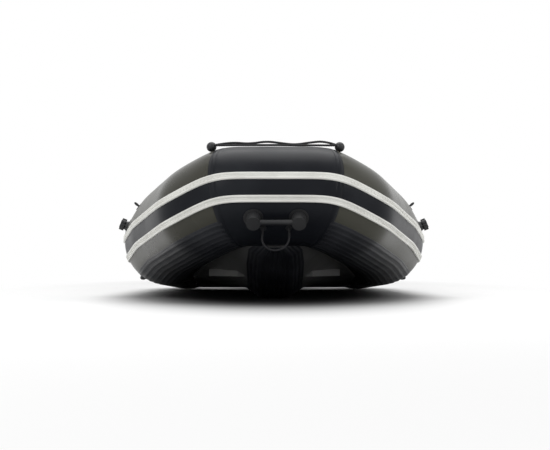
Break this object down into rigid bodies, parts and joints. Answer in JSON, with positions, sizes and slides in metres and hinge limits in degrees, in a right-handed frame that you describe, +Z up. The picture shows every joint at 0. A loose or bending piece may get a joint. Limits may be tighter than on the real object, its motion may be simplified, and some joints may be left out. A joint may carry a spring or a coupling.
{
  "type": "inflatable boat",
  "caption": "Soft inflatable boat with a raised bow, twin rubbing strakes, ribbed keel, air floor, transom, sliding benches and moulded handles.",
  "frame": {"origin": "on the floor below the middle of the boat", "axes": "+Z up, bow towards -Y, stern towards +Y, port side +X"},
  "size_m": [1.7334, 3.5869, 0.7742],
  "materials": {
    "tube_fabric": "glossy coated fabric, olive grey",
    "nose_fabric": "glossy coated fabric, near black",
    "strake_rubber": "smooth off-white moulded rubber",
    "ribbed_rubber": "black rubber with lengthwise ribs",
    "bottom_fabric": "coated fabric, mid grey",
    "floor_fabric": "coated fabric with a fine anti-slip grain",
    "painted_plywood": "painted marine plywood",
    "trim_metal": "satin anodised",
    "bench_wood": "varnished plywood",
    "steel": "stainless, satin",
    "rope": "twisted black rope",
    "holder_rubber": "black moulded rubber",
    "handle_rubber": "black moulded rubber, satin",
    "black_plastic": "black moulded plastic"
  },
  "bodies": {
    "hull": {"air_floor": "floor_fabric", "bow_handle": "handle_rubber", "bow_handle_discs": "handle_rubber", "bow_tube": "tube_fabric", "bow_valve": "black_plastic", "drain_plug": "black_plastic", "drain_valve": "black_plastic", "floor_valve": "black_plastic", "grab_line": "rope", "grab_line_return": "rope", "hull_skin": "bottom_fabric", "inner_motor_pad": "black_plastic", "keel_strip": "ribbed_rubber", "lifeline_rings": "black_plastic", "line_guides": "black_plastic", "lower_strake": "strake_rubber", "nose_patch": "nose_fabric", "outer_motor_pad": "black_plastic", "port_cone": "tube_fabric", "port_cone_cap": "black_plastic", "port_handle": "handle_rubber", "port_rowlock_base": "black_plastic", "port_rowlock_cap": "black_plastic", "port_rowlock_pin": "steel", "port_seat_rail": "holder_rubber", "port_transom_holder": "holder_rubber", "port_tube": "tube_fabric", "port_valve": "black_plastic", "port_wear_strip": "ribbed_rubber", "starboard_cone": "tube_fabric", "starboard_cone_cap": "black_plastic", "starboard_handle": "handle_rubber", "starboard_rowlock_base": "black_plastic", "starboard_rowlock_cap": "black_plastic", "starboard_rowlock_pin": "steel", "starboard_seat_rail": "holder_rubber", "starboard_transom_holder": "holder_rubber", "starboard_tube": "tube_fabric", "starboard_valve": "black_plastic", "starboard_wear_strip": "ribbed_rubber", "stern_rings": "steel", "tow_loop": "rope", "transom": "painted_plywood", "transom_trim": "trim_metal", "upper_strake": "strake_rubber"},
    "front_bench": {"front_bench": "bench_wood", "front_bench_sliders": "black_plastic"},
    "rear_bench": {"rear_bench": "bench_wood", "rear_bench_sliders": "black_plastic"}
  },
  "joints": [
    {"name": "front_bench_slide", "type": "slide", "parent": "hull", "child": "front_bench", "axis": [0, 0.9994, -0.0351], "range_m": [-0.16, 0.19]},
    {"name": "rear_bench_slide", "type": "slide", "parent": "hull", "child": "rear_bench", "axis": [0, 0.9994, -0.0351], "range_m": [-0.19, 0.24]}
  ]
}
